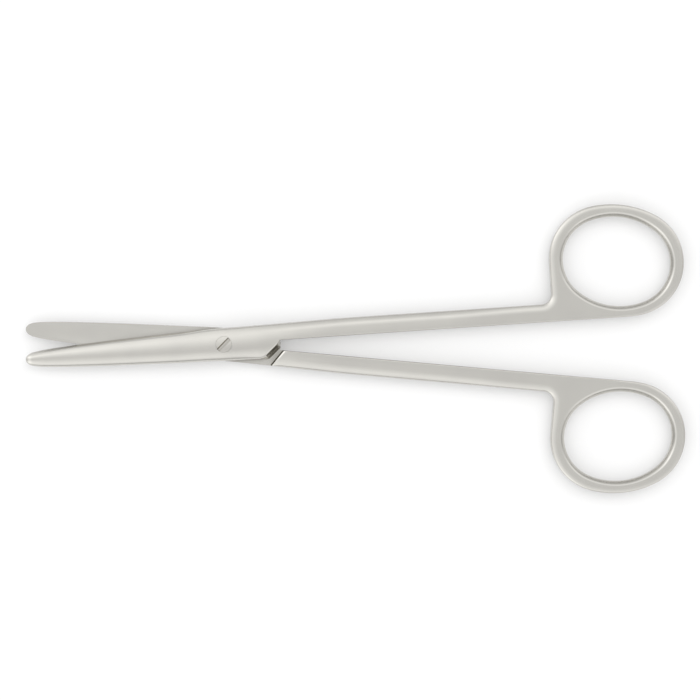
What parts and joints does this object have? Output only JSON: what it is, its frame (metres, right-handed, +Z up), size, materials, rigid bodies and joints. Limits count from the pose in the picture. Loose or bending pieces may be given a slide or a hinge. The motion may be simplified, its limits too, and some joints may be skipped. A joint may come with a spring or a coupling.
{
  "type": "dissecting scissors",
  "caption": "Slim straight dissecting scissors with round blunt tips, a flush screwed lap joint, long narrow shanks and oval finger rings, shown slightly open.",
  "frame": {"origin": "middle of the plan outline at rest, on the surface under the joint", "axes": "+X along the scissors from the tips to the finger rings, +Z up along the joint screw, +Y toward the front half's finger ring"},
  "size_m": [0.145, 0.0636, 0.0046],
  "materials": {
    "satin_stainless": "satin, fine bead-blasted and brushed along the part",
    "screw_stainless": "ground flush and satin finished"
  },
  "bodies": {
    "rear": {"rear_half": "satin_stainless", "joint_screw": "screw_stainless"},
    "front": {"front_half": "satin_stainless"}
  },
  "joints": [
    {"name": "lap_joint", "type": "hinge", "parent": "rear", "child": "front", "pos_m": [-0.02882, 0.00095, 0.0023], "axis": [0, 0, 1], "range_deg": [-8.9, 130]}
  ]
}
